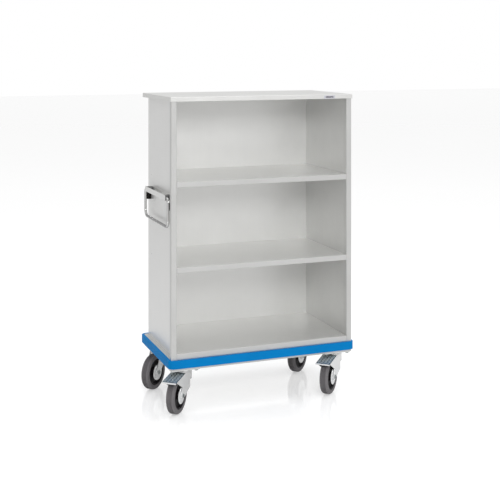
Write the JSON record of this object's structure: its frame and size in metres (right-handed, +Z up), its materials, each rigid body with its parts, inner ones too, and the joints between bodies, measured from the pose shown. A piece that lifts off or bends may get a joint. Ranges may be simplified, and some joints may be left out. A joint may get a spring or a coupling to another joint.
{
  "type": "instrument cart",
  "caption": "Tall open-fronted sheet steel cabinet cart with shelves, a plastic bumper round its base, a fold-up push handle and braked swivel castors.",
  "frame": {"origin": "on the floor, under the middle of the cabinet, midway between the four castor kingpins", "axes": "+Z up, +X to the cart's right, -Y out of the open front"},
  "size_m": [0.9432, 0.5578, 1.388],
  "materials": {
    "cabinet_steel": "satin stainless sheet, fine vertical grain",
    "bumper_blue": "satin blue plastic",
    "plate_white": "blank white plate",
    "tyre_grey": "dark grey solid rubber with fine ribs",
    "rim_black": "black moulded plastic",
    "bearing_grey": "grey nylon",
    "buffer_rubber": "black rubber",
    "grip_steel": "polished stainless bar",
    "pedal_steel": "dark ribbed tread with bright edge",
    "zinc_plated": "bright zinc plate, slightly blue"
  },
  "bodies": {
    "cabinet": {"back_panel": "cabinet_steel", "base_tray": "cabinet_steel", "bracket_screws": "zinc_plated", "bumper": "bumper_blue", "castor_bolts": "zinc_plated", "castor_channel_left": "cabinet_steel", "castor_channel_right": "cabinet_steel", "castor_fl_plate": "zinc_plated", "castor_fl_race": "zinc_plated", "castor_fr_plate": "zinc_plated", "castor_fr_race": "zinc_plated", "castor_nuts": "zinc_plated", "castor_rl_plate": "zinc_plated", "castor_rl_race": "zinc_plated", "castor_rr_plate": "zinc_plated", "castor_rr_race": "zinc_plated", "front_post_left": "cabinet_steel", "front_post_right": "cabinet_steel", "handle_bearings": "bearing_grey", "handle_bracket": "cabinet_steel", "handle_buffers": "buffer_rubber", "name_plate": "plate_white", "shelf_floor": "cabinet_steel", "shelf_lower": "cabinet_steel", "shelf_rivets": "zinc_plated", "shelf_upper": "cabinet_steel", "side_panel_left": "cabinet_steel", "side_panel_right": "cabinet_steel", "top_panel": "cabinet_steel"},
    "handle": {"handle_grip": "grip_steel"},
    "castor_fl_swivel": {"castor_fl_fork": "zinc_plated", "castor_fl_kingpin": "zinc_plated", "castor_fl_guards": "zinc_plated", "castor_fl_axle": "zinc_plated", "castor_fl_pedal_pin": "zinc_plated"},
    "castor_fl_wheel": {"castor_fl_tyre": "tyre_grey", "castor_fl_rim": "rim_black"},
    "castor_fl_brake": {"castor_fl_pedal": "pedal_steel"},
    "castor_fr_swivel": {"castor_fr_fork": "zinc_plated", "castor_fr_kingpin": "zinc_plated", "castor_fr_guards": "zinc_plated", "castor_fr_axle": "zinc_plated", "castor_fr_pedal_pin": "zinc_plated"},
    "castor_fr_wheel": {"castor_fr_tyre": "tyre_grey", "castor_fr_rim": "rim_black"},
    "castor_fr_brake": {"castor_fr_pedal": "pedal_steel"},
    "castor_rl_swivel": {"castor_rl_fork": "zinc_plated", "castor_rl_kingpin": "zinc_plated", "castor_rl_guards": "zinc_plated", "castor_rl_axle": "zinc_plated"},
    "castor_rl_wheel": {"castor_rl_tyre": "tyre_grey", "castor_rl_rim": "rim_black"},
    "castor_rr_swivel": {"castor_rr_fork": "zinc_plated", "castor_rr_kingpin": "zinc_plated", "castor_rr_guards": "zinc_plated", "castor_rr_axle": "zinc_plated"},
    "castor_rr_wheel": {"castor_rr_tyre": "tyre_grey", "castor_rr_rim": "rim_black"}
  },
  "joints": [
    {"name": "handle_fold", "type": "hinge", "parent": "cabinet", "child": "handle", "pos_m": [-0.4395, 0, 0.938], "axis": [0, 1, 0], "range_deg": [0, 90]},
    {"name": "swivel_fl", "type": "hinge", "parent": "cabinet", "child": "castor_fl_swivel", "pos_m": [-0.37, -0.175, 0.177], "axis": [0, 0, 1], "continuous": true},
    {"name": "roll_fl", "type": "hinge", "parent": "castor_fl_swivel", "child": "castor_fl_wheel", "pos_m": [-0.41114, -0.22403, 0.08], "axis": [0.766, -0.6428, 0], "continuous": true},
    {"name": "brake_fl", "type": "hinge", "parent": "castor_fl_swivel", "child": "castor_fl_brake", "pos_m": [-0.397, -0.20717, 0.164], "axis": [0.766, -0.6428, 0], "range_deg": [0, 6]},
    {"name": "swivel_fr", "type": "hinge", "parent": "cabinet", "child": "castor_fr_swivel", "pos_m": [0.37, -0.175, 0.177], "axis": [0, 0, 1], "continuous": true},
    {"name": "roll_fr", "type": "hinge", "parent": "castor_fr_swivel", "child": "castor_fr_wheel", "pos_m": [0.32554, -0.22104, 0.08], "axis": [0.7193, -0.6947, 0], "continuous": true},
    {"name": "brake_fr", "type": "hinge", "parent": "castor_fr_swivel", "child": "castor_fr_brake", "pos_m": [0.34082, -0.20521, 0.164], "axis": [0.7193, -0.6947, 0], "range_deg": [0, 6]},
    {"name": "swivel_rl", "type": "hinge", "parent": "cabinet", "child": "castor_rl_swivel", "pos_m": [-0.37, 0.175, 0.177], "axis": [0, 0, 1], "continuous": true},
    {"name": "roll_rl", "type": "hinge", "parent": "castor_rl_swivel", "child": "castor_rl_wheel", "pos_m": [-0.41756, 0.13218, 0.08], "axis": [0.6691, -0.7431, 0], "continuous": true},
    {"name": "swivel_rr", "type": "hinge", "parent": "cabinet", "child": "castor_rr_swivel", "pos_m": [0.37, 0.175, 0.177], "axis": [0, 0, 1], "continuous": true},
    {"name": "roll_rr", "type": "hinge", "parent": "castor_rr_swivel", "child": "castor_rr_wheel", "pos_m": [0.3217, 0.13301, 0.08], "axis": [0.6561, -0.7547, 0], "continuous": true}
  ]
}
